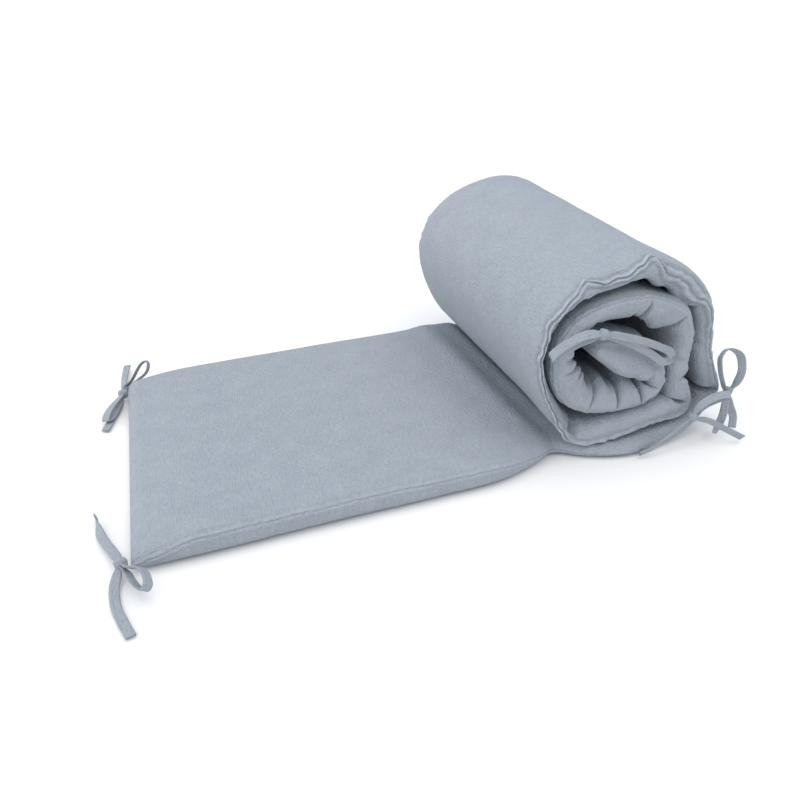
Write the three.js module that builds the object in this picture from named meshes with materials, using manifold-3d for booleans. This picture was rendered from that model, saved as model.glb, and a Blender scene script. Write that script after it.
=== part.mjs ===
// Crib bumper: one long padded muslin strip, flat at its free end and wound into a roll at the
// other, with narrow muslin ties sewn to its long edges and tied in bows.
//
// Frame: millimetres, +Z up. The strip's free end is at low X and its near long edge at low Y.
// The whole part is moved at the end, so that its origin is the middle of its box's underside.

import * as THREE from 'three';
import { mergeVertices } from 'three/addons/utils/BufferGeometryUtils.js';
import Module from 'manifold-3d';

const wasm = await Module();
wasm.setup();

// ---- Driving dimensions ----

// The far edge's distance from the near one, at the free end and in the roll.
const FAR_EDGE_AT_END = 293;
const FAR_EDGE_AT_ROLL = 308;
// The strip thins where the roll presses on it: where, in rows, the far side gets back how much.
const PINCH_ROW = 6.6;
const PINCH_RELEASE = 7;
// How far the crowned faces stand back from the sewn edge.
const EDGE_ROUND = 14;
// Height of the ridge that the sewn edge makes.
const SEAM_RIDGE = 1.5;
// Least thickness left at the strip's two short ends.
const END_THICKNESS = 4;
// Lengths from a short end at which its rounding is modelled.
const END_STEPS = [0, 2.5, 7, 14];
// Length over which the strip's direction is averaged, so that bends stay open on their inside.
const TURN_SPAN = 13;
// Spacing of the cross sections, on the flat run and in the roll.
const FLAT_STEP = 28;
const ROLL_STEP = 12.5;
// How far the near end's uneven bends run into the roll before it is evenly round.
const UNEVEN_DEPTH = 90;
// Sideways lean of the strip's free end and of the roll's axis, as run per unit of width.
const END_LEAN = 0.076;
const ROLL_LEAN = 0.042;
// Length of strip over which the lean changes from the one to the other.
const LEAN_RUN = 400;
// The roll's far end is this much larger than its near end, about the middle of its underside.
const FAR_SWELL = 0.012;
const FAR_RISE = 0.042;
const ROLL_MIDDLE_X = 462;
const ROLL_UNDERSIDE_Z = 8;

const STRAP_WIDTH = 8;
const STRAP_THICKNESS = 1.8;
const STRAP_STEPS_PER_POINT = 2;
const KNOT_RADIUS = { x: 4.4, y: 4, z: 4.6 };

const MUSLIN = { color: 0x9aa6b4, roughness: 0.95, metalness: 0 };

// ---- The strip's route at its near edge ----
// One row for each bend. x and z place the middle of the thickness, thick is the thickness there,
// near is how far the near edge is drawn in, and seam is the angle at which the sewn edge lies on
// the rounded side, from 90 on the inner face to -90 on the outer one.

const ROUTE = [
  { x: 0, z: 10, thick: 20, near: -6, seam: 35 },
  { x: 50, z: 13.5, thick: 27, near: -9, seam: 35 },
  { x: 120, z: 14, thick: 28, near: -9, seam: 35 },
  { x: 200, z: 14, thick: 28, near: -9, seam: 35 },
  { x: 270, z: 13.5, thick: 27, near: -10, seam: 35 },
  { x: 330, z: 12.5, thick: 25, near: -9, seam: 30 },
  { x: 375, z: 11, thick: 22, near: 3, seam: 15 },
  { x: 402, z: 9.5, thick: 19, near: 14, seam: 5 },
  { x: 432, z: 8, thick: 16, near: -2, seam: -5 },
  { x: 470, z: 7.5, thick: 15, near: -14, seam: -15 },
  { x: 512, z: 9, thick: 17, near: -12, seam: -30 },
  { x: 546, z: 14.5, thick: 19, near: -6, seam: -40 },
  { x: 571, z: 29, thick: 21, near: 0, seam: -45 },
  { x: 581, z: 48, thick: 22, near: 0, seam: -45 },
  { x: 569, z: 72, thick: 22, near: 0, seam: -45 },
  { x: 558, z: 97, thick: 21, near: 0, seam: -45 },
  { x: 553, z: 123, thick: 20, near: 0, seam: -50 },
  { x: 543, z: 150, thick: 20, near: 0, seam: -50 },
  { x: 521, z: 172, thick: 20, near: 0, seam: -55 },
  { x: 495, z: 187, thick: 20, near: 0, seam: -60 },
  { x: 467, z: 193, thick: 20, near: -2, seam: -65 },
  { x: 438, z: 185, thick: 19, near: 2, seam: -20 },
  { x: 409, z: 179, thick: 18, near: 0, seam: -30 },
  { x: 387, z: 162, thick: 16, near: 1, seam: -25 },
  { x: 373, z: 140, thick: 15, near: 0, seam: -20 },
  { x: 370, z: 116, thick: 15, near: 0, seam: -20 },
  { x: 377, z: 90, thick: 15, near: 0, seam: -20 },
  { x: 390, z: 65, thick: 16, near: 0, seam: -25 },
  { x: 405, z: 43, thick: 18, near: 0, seam: -35 },
  { x: 427, z: 29.5, thick: 22, near: -2, seam: -50 },
  { x: 455, z: 30, thick: 24, near: -3, seam: -50 },
  { x: 486, z: 32, thick: 24, near: -3, seam: -50 },
  { x: 516, z: 36, thick: 24, near: -3, seam: -50 },
  { x: 538, z: 42, thick: 22, near: -3, seam: -45 },
  { x: 532, z: 64, thick: 21, near: -3, seam: -40 },
  { x: 528, z: 91, thick: 22, near: -3, seam: -40 },
  { x: 527, z: 119, thick: 22, near: -3, seam: -40 },
  { x: 515, z: 141, thick: 26, near: -3, seam: -45 },
  { x: 489, z: 152, thick: 26, near: -3, seam: -55 },
  { x: 460, z: 162, thick: 20, near: -3, seam: -60 },
  { x: 431, z: 159, thick: 19, near: -3, seam: -55 },
  { x: 406, z: 149, thick: 18, near: -3, seam: -45 },
  { x: 393, z: 131, thick: 18, near: -3, seam: -35 },
  { x: 393, z: 107, thick: 21, near: -3, seam: -30 },
  { x: 402, z: 83, thick: 23, near: -3, seam: -30 },
  { x: 422, z: 66, thick: 23, near: -3, seam: -35 },
  { x: 451, z: 58, thick: 22, near: -3, seam: -40 },
  { x: 479, z: 57, thick: 20, near: -3, seam: -40 },
  { x: 500, z: 63, thick: 18, near: -3, seam: -40 },
  { x: 501, z: 78, thick: 17, near: -3, seam: -45 },
  { x: 483, z: 86, thick: 17, near: -3, seam: -45 },
  { x: 460, z: 97, thick: 18, near: -3, seam: -45 },
  { x: 438, z: 112, thick: 17, near: -3, seam: -45 },
  { x: 423, z: 124, thick: 16, near: -3, seam: -45 },
];
// Rows at which the roll starts to rise from the floor, and at which it has risen.
const RISE_START = 9;
const RISE_END = 12;
// Row from which the cross sections stand closer.
const CLOSE_ROW = 6;

// ---- Folds at the near edge ----
// Each is a crease pressed in from the inner (1) or outer (-1) face: its row position on the
// route, its depth, its spread along the strip and how far it runs in from the edge.

const FOLDS = [
  { row: 13, face: 1, depth: 9, spread: 6, reach: 60 },
  { row: 16.8, face: 1, depth: 6, spread: 6, reach: 30 },
  { row: 18.2, face: 1, depth: 6, spread: 6, reach: 30 },
  { row: 22.4, face: 1, depth: 5, spread: 6, reach: 25 },
  { row: 29, face: 1, depth: 8, spread: 8, reach: 45 },
  { row: 33.2, face: 1, depth: 8, spread: 6, reach: 60 },
  { row: 34.2, face: -1, depth: 6, spread: 6, reach: 45 },
  { row: 37, face: 1, depth: 7, spread: 6, reach: 40 },
  { row: 38.6, face: 1, depth: 10, spread: 6, reach: 60 },
  { row: 40.6, face: 1, depth: 5, spread: 5, reach: 25 },
  { row: 43.3, face: 1, depth: 6, spread: 6, reach: 35 },
  { row: 45.1, face: 1, depth: 9, spread: 6, reach: 70 },
  { row: 46.2, face: 1, depth: 9, spread: 6, reach: 70 },
  { row: 47.3, face: 1, depth: 9, spread: 6, reach: 70 },
];

// A value of a column at row position u, on a Catmull-Rom spline through the rows.
function column(rows, key, u) {
  const last = rows.length - 1;
  const i = Math.min(Math.max(Math.floor(u), 0), last - 1);
  const t = u - i;
  const value = (k) => rows[Math.min(Math.max(k, 0), last)][key];
  const [a, b, c, d] = [value(i - 1), value(i), value(i + 1), value(i + 2)];
  const slope = c - a;
  const bend = 2 * a - 5 * b + 4 * c - d;
  const twist = 3 * b - a - 3 * c + d;
  return 0.5 * (2 * b + slope * t + bend * t * t + twist * t * t * t);
}

// The same route deeper in the roll, where the near end's bends have evened out.
const EVEN_ROUTE = ROUTE.map((row, i) => {
  if (i <= RISE_START || i === ROUTE.length - 1) return row;
  const [before, after] = [ROUTE[i - 1], ROUTE[i + 1]];
  const even = (key) => (before[key] + 2 * row[key] + after[key]) / 4;
  return { ...row, x: even('x'), z: even('z') };
});

// Length along the route at small even steps of row position, to turn one into the other.
const STEPS_PER_ROW = 12;
const LENGTHS = [0];
for (let k = 1; k <= (ROUTE.length - 1) * STEPS_PER_ROW; k += 1) {
  const [u0, u1] = [(k - 1) / STEPS_PER_ROW, k / STEPS_PER_ROW];
  const run = column(ROUTE, 'x', u1) - column(ROUTE, 'x', u0);
  const rise = column(ROUTE, 'z', u1) - column(ROUTE, 'z', u0);
  LENGTHS.push(LENGTHS[k - 1] + Math.hypot(run, rise));
}
const PAD_LENGTH = LENGTHS[LENGTHS.length - 1];

function rowAt(length) {
  const wanted = Math.min(Math.max(length, 0), PAD_LENGTH);
  let k = 1;
  while (LENGTHS[k] < wanted && k < LENGTHS.length - 1) k += 1;
  const share = (wanted - LENGTHS[k - 1]) / (LENGTHS[k] - LENGTHS[k - 1]);
  return (k - 1 + share) / STEPS_PER_ROW;
}

function lengthAt(row) {
  const k = Math.min(Math.floor(row * STEPS_PER_ROW), LENGTHS.length - 2);
  return THREE.MathUtils.lerp(LENGTHS[k], LENGTHS[k + 1], row * STEPS_PER_ROW - k);
}

function smooth(t) {
  const c = Math.min(Math.max(t, 0), 1);
  return c * c * (3 - 2 * c);
}

// The far edge's y: the strip fans out a little from its free end to the roll.
function farEdge(u) {
  return THREE.MathUtils.lerp(FAR_EDGE_AT_END, FAR_EDGE_AT_ROLL, smooth(u / RISE_START));
}

// The middle of the thickness at a length along the strip and a distance y from the near edge.
function middle(length, y) {
  const u = rowAt(length);
  const even = smooth(y / UNEVEN_DEPTH);
  const x = THREE.MathUtils.lerp(column(ROUTE, 'x', u), column(EVEN_ROUTE, 'x', u), even);
  const z = THREE.MathUtils.lerp(column(ROUTE, 'z', u), column(EVEN_ROUTE, 'z', u), even);
  const depth = y / FAR_EDGE_AT_ROLL;
  const rolled = smooth((u - RISE_START) / (RISE_END - RISE_START));
  const lean = THREE.MathUtils.lerp(END_LEAN, ROLL_LEAN, Math.min(length / LEAN_RUN, 1));
  return new THREE.Vector2(
    x + FAR_SWELL * depth * rolled * (x - ROLL_MIDDLE_X) + lean * y,
    z + FAR_RISE * depth * rolled * (z - ROLL_UNDERSIDE_Z),
  );
}

// The inner face's direction there.
function inward(length, y) {
  const before = middle(Math.max(length - TURN_SPAN, 0), y);
  const after = middle(Math.min(length + TURN_SPAN, PAD_LENGTH), y);
  const along = after.sub(before).normalize();
  return new THREE.Vector2(-along.y, along.x);
}

// ---- The pad's cross section ----

const SIDE_POINTS = 7;
const FACE_SHARES = [0.06, 0.2, 0.5, 0.8, 0.94];

// How deep the folds press at a length, for a point this far in and this high on its side.
function foldDepth(length, inset, height) {
  let depth = 0;
  for (const fold of FOLDS) {
    const away = Math.abs(length - lengthAt(fold.row)) / fold.spread;
    const onFace = smooth((fold.face * height + 0.5) / 1.2);
    depth += fold.face * fold.depth * Math.exp(-away) * onFace * (1 - smooth(inset / fold.reach));
  }
  return depth;
}

// Points round the section, near side first: y, and rise across the thickness.
function sectionPoints(length) {
  const u = rowAt(length);
  const toEnd = Math.min(length, PAD_LENGTH - length);
  const bulge = Math.sqrt(1 - (1 - Math.min(toEnd / EDGE_ROUND, 1)) ** 2);
  const half = Math.max(column(ROUTE, 'thick', u) * bulge, END_THICKNESS) / 2;
  const near = column(ROUTE, 'near', u);
  const far = farEdge(u);
  const release = PINCH_RELEASE * Math.exp(-((u - PINCH_ROW) ** 2));
  const seam = column(ROUTE, 'seam', u);
  const ring = [];
  const addSide = (edge, towardsMiddle, order) => {
    for (const k of order) {
      const share = (2 * k) / (SIDE_POINTS - 1);
      const angle = share < 1
        ? THREE.MathUtils.lerp(-90, seam, share)
        : THREE.MathUtils.lerp(seam, 90, share - 1);
      const a = THREE.MathUtils.degToRad(angle);
      const ridge = share === 1 ? SEAM_RIDGE : 0;
      const inset = EDGE_ROUND * (1 - Math.cos(a)) - ridge * Math.cos(a);
      ring.push({ y: edge + towardsMiddle * inset, rise: (half + ridge) * Math.sin(a) });
    }
  };
  const addFace = (shares, rise) => {
    for (const share of shares) {
      const y = THREE.MathUtils.lerp(near + EDGE_ROUND, far - EDGE_ROUND, share);
      ring.push({ y, rise });
    }
  };
  const order = [...Array(SIDE_POINTS).keys()];
  addSide(near, 1, order);
  addFace(FACE_SHARES, half);
  addSide(far, -1, [...order].reverse());
  addFace([...FACE_SHARES].reverse(), -half);
  return ring.map(({ y, rise }) => {
    const depth = foldDepth(length, y - near, rise / half);
    const inset = y - near < EDGE_ROUND ? Math.abs(depth) / 2 : 0;
    const lift = release * smooth(y / far) * (rise / half + 1) / 2;
    return { y: y + inset, rise: rise - depth + lift };
  });
}

// A place on or in the pad, never below the floor.
function padPoint(length, y, rise) {
  const at = middle(length, y);
  const face = inward(length, y);
  return new THREE.Vector3(at.x + face.x * rise, y, Math.max(at.y + face.y * rise, 0));
}

// The lengths of all cross sections: even steps, the short ends' rounding, and each fold's bottom
// and flanks in place of the steps nearest to them.
function sectionLengths() {
  const closeFrom = lengthAt(CLOSE_ROW);
  const start = END_STEPS[END_STEPS.length - 1];
  const end = PAD_LENGTH - start;
  const flatCount = Math.round((closeFrom - start) / FLAT_STEP);
  const rollCount = Math.round((end - closeFrom) / ROLL_STEP);
  const steps = [];
  for (let k = 1; k <= flatCount; k += 1) steps.push(start + ((closeFrom - start) * k) / flatCount);
  for (let k = 1; k < rollCount; k += 1) steps.push(closeFrom + ((end - closeFrom) * k) / rollCount);
  const folds = FOLDS.flatMap(({ row, spread }) => [-1, 0, 1].map((side) => lengthAt(row) + side * spread));
  const apart = ROLL_STEP / 3;
  const kept = steps.filter((step) => folds.every((fold) => Math.abs(fold - step) > apart));
  const ends = END_STEPS.flatMap((step) => [step, PAD_LENGTH - step]);
  return [...kept, ...folds, ...ends].sort((a, b) => a - b);
}

function padGeometry() {
  const lengths = sectionLengths();
  const positions = [];
  const index = [];
  for (const length of lengths) {
    for (const { y, rise } of sectionPoints(length)) positions.push(...padPoint(length, y, rise).toArray());
  }
  const count = 2 * (SIDE_POINTS + FACE_SHARES.length);
  for (let s = 0; s < lengths.length - 1; s += 1) {
    for (let k = 0; k < count; k += 1) {
      const [a, b] = [s * count + k, s * count + ((k + 1) % count)];
      index.push(a, b + count, b, a, a + count, b + count);
    }
  }
  // Each short end is closed by a ladder between its inner and outer edge, from seam to seam.
  const seam = (SIDE_POINTS - 1) / 2;
  const last = (lengths.length - 1) * count;
  for (let k = 0; k < count / 2; k += 1) {
    const [inner, nextInner] = [(seam + k) % count, (seam + k + 1) % count];
    const [outer, nextOuter] = [(seam - k + count) % count, (seam - k - 1 + count) % count];
    if (inner !== outer) {
      index.push(inner, nextInner, outer);
      index.push(last + inner, last + outer, last + nextInner);
    }
    if (nextInner !== nextOuter) {
      index.push(outer, nextInner, nextOuter);
      index.push(last + outer, last + nextOuter, last + nextInner);
    }
  }
  const geometry = new THREE.BufferGeometry();
  geometry.setAttribute('position', new THREE.Float32BufferAttribute(positions, 3));
  geometry.setIndex(index);
  geometry.computeVertexNormals();
  return geometry;
}

// ---- The ties ----
// Each tie is a knot with its straps. A strap has its path's points and, evenly spaced along it,
// the directions in which its width lies.

const TIES = [
  {
    name: 'tie_free_near',
    knot: [-8, -1, 11],
    straps: [
      { path: [[-8, 0, 11], [-13, 19, 8], [-19, 38, 6], [-23, 57, 5.5], [-24, 74, 6]],
        across: [[1, 0.2, 0], [1, 0.2, 0.1], [-0.25, 0, 0.97]] },
      { path: [[-9, -1, 10], [-12, -9, 6.5], [-15, -18, 4], [-15.5, -38, 2.8], [-12, -56, 2.8], [-7.5, -73, 2.8]],
        across: [[1, -0.5, 0], [1, 0, 0], [1, -0.2, 0]] },
      { path: [[-7, -2, 12], [-3, -12, 15], [5, -21, 20], [9, -31, 23], [10, -39, 24], [10, -44, 22],
        [6, -45, 17], [1, -40, 12], [-2, -32, 9], [-4, -23, 9], [-5, -14, 10], [-8, -3, 10]],
        across: [[0.778, 0.111, -0.619], [0.778, 0.111, -0.619]] },
    ],
  },
  {
    name: 'tie_free_far',
    knot: [15, 281, 9],
    straps: [
      { path: [[15, 282, 9], [17, 304, 6], [20, 330, 5], [25, 355, 6]],
        across: [[0.4, 0, 0.9], [0.8, -0.2, 0.5], [1, -0.2, 0.1]] },
      { path: [[15, 283, 9], [19, 297, 9], [25, 302, 11.5], [29.4, 302, 17], [35, 302, 25.8], [40.6, 302, 32.4],
        [45, 302, 34], [47, 302, 31], [45.7, 302, 23.8], [41.6, 302, 18], [35, 302, 13.5], [28, 302, 9],
        [21, 297, 6], [15, 283, 7]],
        across: [[-0.33, -0.8, 0.5], [-0.33, -0.8, 0.5]] },
      { path: [[15, 279, 10], [9, 265, 12], [2, 250, 13], [-4, 238, 11], [-6, 232, 8], [-2, 237, 5.5],
        [6, 256, 5.5], [14, 278, 7]],
        across: [[0.9, -0.44, 0.5], [0.9, -0.44, 0.1], [0.9, -0.44, 0]] },
      { path: [[14, 279, 7], [7, 259, 3.2], [-1, 239, 2.8], [-8, 220, 2.8]],
        across: [[0.9, -0.4, 0], [0.9, -0.35, 0], [0.9, -0.35, 0]] },
    ],
  },
  {
    name: 'tie_corner_near',
    knot: [592, -6, 48],
    straps: [
      { path: [[591, -7, 49], [586, -8, 52], [578, -8, 65], [571, -8, 80], [568, -8, 93], [573, -8, 100],
        [582, -8, 98.5], [593, -8, 91], [599.5, -8, 79.5], [602, -8, 67.5], [598.5, -8, 57.5],
        [593, -7, 49]],
        across: [[-0.33, -0.8, 0.5], [-0.33, -0.8, 0.5], [-0.2, -0.8, 0.5], [0.85, -0.45, 0.2], [-0.2, -0.8, 0.4]] },
      { path: [[591, -7, 46], [587, -12, 35], [584, -15, 26], [579, -17, 16], [575, -18, 8]],
        across: [[0.8, 0, 0.2], [0.6, -0.6, 0.2], [0.9, 0.2, 0.1]] },
      { path: [[593, -6, 45], [599, -7, 31], [605, -10, 17], [603, -14, 6]],
        across: [[0.8, -0.2, 0.4], [0.9, -0.3, 0.1], [0.9, -0.4, 0.1]] },
    ],
  },
  {
    name: 'tie_fold_near',
    knot: [543, -15, 33],
    straps: [
      { path: [[542, -15, 32], [524, -18, 25], [507, -19, 16], [494, -20, 10], [481, -19, 6]],
        across: [[-0.38, -0.35, 0.85], [-0.38, -0.35, 0.85]] },
      { path: [[545, -16, 32], [561, -19, 27], [581, -25, 16], [599, -33, 6]],
        across: [[-0.2, -0.3, 0.9], [0.1, -0.5, 0.8], [0.2, -0.5, 0.8]] },
      { path: [[543, -15, 36], [548, -17, 47], [559, -18, 53], [572, -19, 55], [581, -19, 53], [583, -16, 50],
        [575, -12, 46], [562, -10, 41], [552, -11, 36], [545, -14, 33]],
        across: [[-0.64, 0.54, 0.43], [-0.09, 0.56, 0.82], [0.2, 0.47, 0.86], [-0.24, 0.59, 0.78]] },
    ],
  },
  {
    name: 'tie_inner_near',
    knot: [418, -11, 144],
    straps: [
      { path: [[417, -12, 145], [398, -14, 148], [386, -14, 145], [374, -14, 140], [366, -13, 133],
        [368, -10, 129], [382, -9, 134], [396, -9, 139], [416, -10, 143]],
        across: [[-0.3, 0.5, 0.78], [-0.3, 0.5, 0.78]] },
      { path: [[419, -12, 145], [442, -10, 137], [464, -9, 129], [486, -8, 119], [502, -8, 110], [506, -7, 103],
        [500, -5, 99], [484, -3, 109], [464, -3, 121], [442, -5, 133], [420, -10, 143]],
        across: [[0.3, -0.1, 0.9], [0.16, -0.38, 0.9], [0.5, 0.2, 0.8], [0.2, -0.3, 0.9]] },
    ],
  },
];

// The ties on the far edge, in plain even bows: the route row that each is sewn at.
const FAR_TIES = [
  { name: 'tie_corner_far', row: 14.6 },
  { name: 'tie_fold_far', row: 33 },
  { name: 'tie_inner_far', row: 52.5 },
];
const FAR_TIE_STANDOFF = 9;
const FAR_LOOP = [[0, 1], [9, 8], [21, 11], [31, 7], [33, 0], [25, -5], [12, -4], [0, -1]];
const FAR_TAIL = [[0, 0], [7, -9], [12, -19], [14, -29]];

function farTie({ name, row }) {
  const at = padPoint(lengthAt(row), farEdge(row), -column(ROUTE, 'thick', row) / 4);
  const y = farEdge(row) + FAR_TIE_STANDOFF;
  const place = (points, side) => points.map(([out, up]) => [at.x + side * out, y, at.z + up]);
  const straps = [-1, 1].flatMap((side) => [
    { path: place(FAR_LOOP, side), across: [[0, 1, 0], [0, 1, 0]] },
    { path: place(FAR_TAIL, side), across: [[0, 1, 0], [0.8, 0.2, 0], [0.9, 0, 0]] },
  ]);
  return { name, knot: [at.x, y, at.z], straps };
}

function strapSolid({ path, across }) {
  const curve = new THREE.CatmullRomCurve3(path.map((point) => new THREE.Vector3(...point)));
  const steps = (path.length - 1) * STRAP_STEPS_PER_POINT;
  const positions = [];
  for (let s = 0; s <= steps; s += 1) {
    const at = curve.getPoint(s / steps);
    const along = curve.getTangent(s / steps);
    const spot = (s / steps) * (across.length - 1);
    const k = Math.min(Math.floor(spot), across.length - 2);
    const wide = new THREE.Vector3(...across[k]).lerp(new THREE.Vector3(...across[k + 1]), spot - k);
    wide.addScaledVector(along, -wide.dot(along)).normalize();
    const thick = new THREE.Vector3().crossVectors(along, wide);
    for (const [w, t] of [[-1, -1], [1, -1], [1, 1], [-1, 1]]) {
      const corner = at.clone().addScaledVector(wide, (w * STRAP_WIDTH) / 2);
      positions.push(...corner.addScaledVector(thick, (t * STRAP_THICKNESS) / 2).toArray());
    }
  }
  const index = [0, 2, 1, 0, 3, 2];
  for (let s = 0; s < steps; s += 1) {
    for (let k = 0; k < 4; k += 1) {
      const [a, b] = [4 * s + k, 4 * s + ((k + 1) % 4)];
      index.push(a, b, b + 4, a, b + 4, a + 4);
    }
  }
  const last = 4 * steps;
  index.push(last, last + 1, last + 2, last, last + 2, last + 3);
  return toSolid(positions, index);
}

function toSolid(positions, index) {
  const mesh = new wasm.Mesh({
    numProp: 3,
    vertProperties: new Float32Array(positions),
    triVerts: new Uint32Array(index),
  });
  return new wasm.Manifold(mesh);
}

function knotSolid([x, y, z]) {
  const ball = new THREE.SphereGeometry(1, 10, 8);
  ball.deleteAttribute('normal');
  ball.deleteAttribute('uv');
  ball.scale(KNOT_RADIUS.x, KNOT_RADIUS.y, KNOT_RADIUS.z);
  ball.translate(x, y, z);
  const merged = mergeVertices(ball, 1e-3);
  return toSolid(merged.attributes.position.array, merged.index.array);
}

function tieMesh({ name, knot, straps }) {
  let solid = knotSolid(knot);
  for (const strap of straps) solid = solid.add(strapSolid(strap));
  // Straps that cross at the knot can enclose a small pocket: the outermost shell fills it.
  const [shell] = solid.decompose().sort((a, b) => b.volume() - a.volume());
  const joined = shell.getMesh();
  const geometry = new THREE.BufferGeometry();
  geometry.setAttribute('position', new THREE.BufferAttribute(joined.vertProperties, 3));
  geometry.setIndex(new THREE.BufferAttribute(joined.triVerts, 1));
  geometry.computeVertexNormals();
  const mesh = new THREE.Mesh(geometry, new THREE.MeshStandardMaterial(MUSLIN));
  mesh.name = name;
  return mesh;
}

// ---- The whole part ----

const part = new THREE.Group();
const pad = new THREE.Mesh(padGeometry(), new THREE.MeshStandardMaterial(MUSLIN));
pad.name = 'pad';
part.add(pad);
for (const tie of [...TIES, ...FAR_TIES.map(farTie)]) part.add(tieMesh(tie));

const box = new THREE.Box3().setFromObject(part);
const centre = box.getCenter(new THREE.Vector3());
part.position.set(-centre.x, -centre.y, -box.min.z);

export default part;
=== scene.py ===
"""Padded muslin crib bumper: a quilted strip, part flat and part rolled, with ties in bows."""

import math

import bpy
import numpy as np
from bpy.props import FloatProperty, FloatVectorProperty, PointerProperty
from mathutils import Matrix, Vector


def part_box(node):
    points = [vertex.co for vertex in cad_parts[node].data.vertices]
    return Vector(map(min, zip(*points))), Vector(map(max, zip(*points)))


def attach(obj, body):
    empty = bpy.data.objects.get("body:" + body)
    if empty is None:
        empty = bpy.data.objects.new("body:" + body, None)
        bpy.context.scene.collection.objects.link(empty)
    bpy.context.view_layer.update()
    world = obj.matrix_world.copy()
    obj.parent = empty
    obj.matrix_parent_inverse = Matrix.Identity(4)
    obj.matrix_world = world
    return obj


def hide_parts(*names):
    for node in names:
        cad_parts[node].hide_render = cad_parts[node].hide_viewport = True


bl_info = {
    "name": "Padded crib bumper",
    "version": (1, 0, 0),
    "blender": (4, 5, 0),
    "location": "3D View > Sidebar > Bumper",
    "description": "Builds a rolled muslin crib bumper with its ties, floor and lights",
    "category": "Add Mesh",
}

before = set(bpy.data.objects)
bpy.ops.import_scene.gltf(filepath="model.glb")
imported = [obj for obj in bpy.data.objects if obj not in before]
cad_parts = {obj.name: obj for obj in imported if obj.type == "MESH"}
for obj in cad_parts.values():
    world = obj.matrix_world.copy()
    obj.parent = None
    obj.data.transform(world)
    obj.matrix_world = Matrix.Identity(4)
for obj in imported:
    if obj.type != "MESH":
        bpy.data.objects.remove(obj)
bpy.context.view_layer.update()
MM = 0.001

# ---- The strip, in millimetres from its free near corner, before it is moved to the frame ----

FAR_EDGE_AT_END = 293
FAR_EDGE_AT_ROLL = 308
PINCH_ROW = 6.6
PINCH_RELEASE = 7
EDGE_ROUND = 14
END_THICKNESS = 4
TURN_SPAN = 13
UNEVEN_DEPTH = 90
END_LEAN = 0.076
ROLL_LEAN = 0.042
LEAN_RUN = 400
FAR_SWELL = 0.012
FAR_RISE = 0.042
ROLL_MIDDLE_X = 462
ROLL_UNDERSIDE_Z = 8
RISE_START = 9
RISE_END = 12
STEPS_PER_ROW = 12

# The route of the strip at its near edge: one row for each bend.
ROUTE_COLUMNS = ("x", "z", "thick", "near")
ROUTE = [
    (0, 10, 20, -6),
    (50, 13.5, 27, -9),
    (120, 14, 28, -9),
    (200, 14, 28, -9),
    (270, 13.5, 27, -10),
    (330, 12.5, 25, -9),
    (375, 11, 22, 3),
    (402, 9.5, 19, 14),
    (432, 8, 16, -2),
    (470, 7.5, 15, -14),
    (512, 9, 17, -12),
    (546, 14.5, 19, -6),
    (571, 29, 21, 0),
    (581, 48, 22, 0),
    (569, 72, 22, 0),
    (558, 97, 21, 0),
    (553, 123, 20, 0),
    (543, 150, 20, 0),
    (521, 172, 20, 0),
    (495, 187, 20, 0),
    (467, 193, 20, -2),
    (438, 185, 19, 2),
    (409, 179, 18, 0),
    (387, 162, 16, 1),
    (373, 140, 15, 0),
    (370, 116, 15, 0),
    (377, 90, 15, 0),
    (390, 65, 16, 0),
    (405, 43, 18, 0),
    (427, 29.5, 22, -2),
    (455, 30, 24, -3),
    (486, 32, 24, -3),
    (516, 36, 24, -3),
    (538, 42, 22, -3),
    (532, 64, 21, -3),
    (528, 91, 22, -3),
    (527, 119, 22, -3),
    (515, 141, 26, -3),
    (489, 152, 26, -3),
    (460, 162, 20, -3),
    (431, 159, 19, -3),
    (406, 149, 18, -3),
    (393, 131, 18, -3),
    (393, 107, 21, -3),
    (402, 83, 23, -3),
    (422, 66, 23, -3),
    (451, 58, 22, -3),
    (479, 57, 20, -3),
    (500, 63, 18, -3),
    (501, 78, 17, -3),
    (483, 86, 17, -3),
    (460, 97, 18, -3),
    (438, 112, 17, -3),
    (423, 124, 16, -3),
]

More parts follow.
